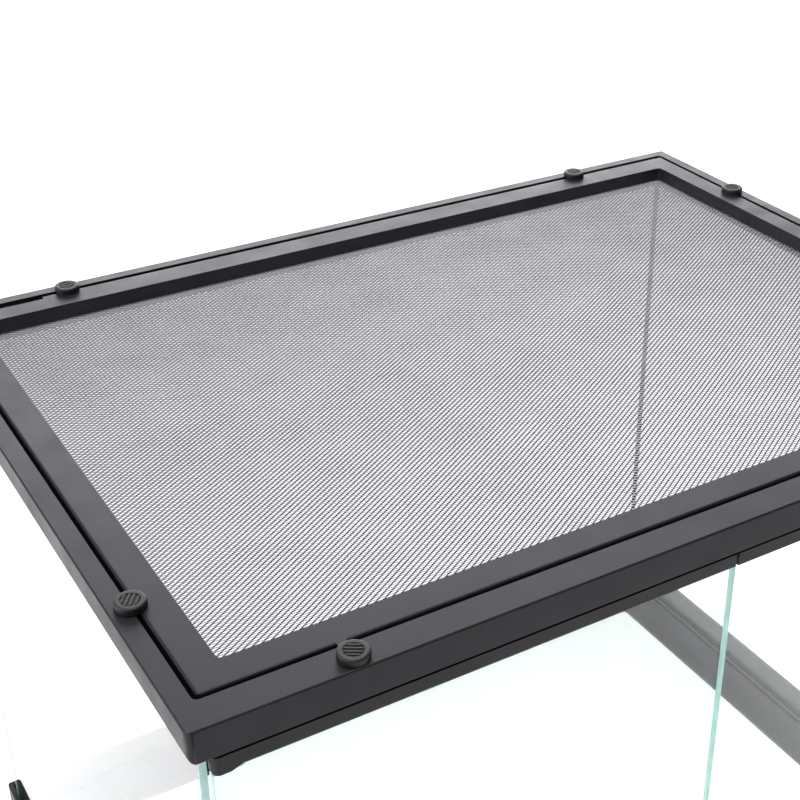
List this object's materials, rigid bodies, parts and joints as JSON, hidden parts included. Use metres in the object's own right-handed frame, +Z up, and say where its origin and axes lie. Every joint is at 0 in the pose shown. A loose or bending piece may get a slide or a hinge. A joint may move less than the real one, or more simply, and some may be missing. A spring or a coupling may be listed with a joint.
{
  "type": "hamster cage",
  "caption": "Glass hamster cage with a framed mesh lid held by turn knobs and a pair of hinged front doors.",
  "frame": {"origin": "middle of the footprint, on the surface the cage stands on", "axes": "+X to the right seen from the doors, +Y to the back, +Z up"},
  "size_m": [0.6, 0.4645, 0.4543],
  "materials": {
    "frame_plastic": "satin black moulded",
    "knob_plastic": "fine-textured black",
    "pane_glass": "clear float glass with a green edge",
    "mesh_metal": "black coated expanded mesh",
    "seal_silicone": "smooth black silicone",
    "fixing_steel": "bright",
    "washer_plastic": "white low-friction",
    "magnet_ferrite": "dark grey ferrite"
  },
  "bodies": {
    "tank": {"base_frame": "frame_plastic", "floor_pane": "pane_glass", "back_pane": "pane_glass", "left_pane": "pane_glass", "right_pane": "pane_glass", "front_guard_pane": "pane_glass", "door_sill": "frame_plastic", "top_rim": "frame_plastic", "lid_ledge": "frame_plastic", "door_stop_strip": "frame_plastic", "corner_seals": "seal_silicone", "floor_seal": "seal_silicone", "top_pivot_pins": "fixing_steel", "bottom_pivot_pins": "fixing_steel", "pivot_washers": "washer_plastic", "sill_magnets": "magnet_ferrite"},
    "left_door": {"left_door_glass": "pane_glass", "left_door_top_rail": "frame_plastic", "left_door_bottom_rail": "frame_plastic", "left_door_pull": "frame_plastic", "left_pull_screw": "fixing_steel", "left_strike_plate": "fixing_steel"},
    "right_door": {"right_door_glass": "pane_glass", "right_door_top_rail": "frame_plastic", "right_door_bottom_rail": "frame_plastic", "right_door_pull": "frame_plastic", "right_pull_screw": "fixing_steel", "right_strike_plate": "fixing_steel"},
    "lid": {"lid_frame": "frame_plastic", "lid_mesh": "mesh_metal", "mesh_retainer": "frame_plastic", "retainer_screws": "fixing_steel"},
    "front_left_knob": {"knob_front_left": "knob_plastic"},
    "front_right_knob": {"knob_front_right": "knob_plastic"},
    "left_front_knob": {"knob_left_front": "knob_plastic"},
    "left_back_knob": {"knob_left_back": "knob_plastic"},
    "back_left_knob": {"knob_back_left": "knob_plastic"},
    "back_right_knob": {"knob_back_right": "knob_plastic"},
    "right_front_knob": {"knob_right_front": "knob_plastic"},
    "right_back_knob": {"knob_right_back": "knob_plastic"}
  },
  "joints": [
    {"name": "lid_lift", "type": "slide", "parent": "tank", "child": "lid", "axis": [0, 0, 1], "range_m": [0, 0.2]},
    {"name": "left_door_swing", "type": "hinge", "parent": "tank", "child": "left_door", "pos_m": [-0.2823, -0.221, 0.2], "axis": [0, 0, -1], "range_deg": [0, 110]},
    {"name": "right_door_swing", "type": "hinge", "parent": "tank", "child": "right_door", "pos_m": [0.2823, -0.221, 0.2], "axis": [0, 0, 1], "range_deg": [0, 110]},
    {"name": "front_left_knob_turn", "type": "hinge", "parent": "lid", "child": "front_left_knob", "pos_m": [-0.217, -0.2164, 0.45], "axis": [0, 0, 1], "range_deg": [0, 90]},
    {"name": "front_right_knob_turn", "type": "hinge", "parent": "lid", "child": "front_right_knob", "pos_m": [0.217, -0.2164, 0.45], "axis": [0, 0, 1], "range_deg": [0, 90]},
    {"name": "left_front_knob_turn", "type": "hinge", "parent": "lid", "child": "left_front_knob", "pos_m": [-0.2885, -0.131, 0.45], "axis": [0, 0, 1], "range_deg": [0, 90]},
    {"name": "left_back_knob_turn", "type": "hinge", "parent": "lid", "child": "left_back_knob", "pos_m": [-0.2885, 0.125, 0.45], "axis": [0, 0, 1], "range_deg": [0, 90]},
    {"name": "back_left_knob_turn", "type": "hinge", "parent": "lid", "child": "back_left_knob", "pos_m": [-0.204, 0.2137, 0.45], "axis": [0, 0, 1], "range_deg": [0, 90]},
    {"name": "back_right_knob_turn", "type": "hinge", "parent": "lid", "child": "back_right_knob", "pos_m": [0.204, 0.2137, 0.45], "axis": [0, 0, 1], "range_deg": [0, 90]},
    {"name": "right_front_knob_turn", "type": "hinge", "parent": "lid", "child": "right_front_knob", "pos_m": [0.2902, -0.131, 0.45], "axis": [0, 0, 1], "range_deg": [0, 90]},
    {"name": "right_back_knob_turn", "type": "hinge", "parent": "lid", "child": "right_back_knob", "pos_m": [0.2902, 0.125, 0.45], "axis": [0, 0, 1], "range_deg": [0, 90]}
  ]
}
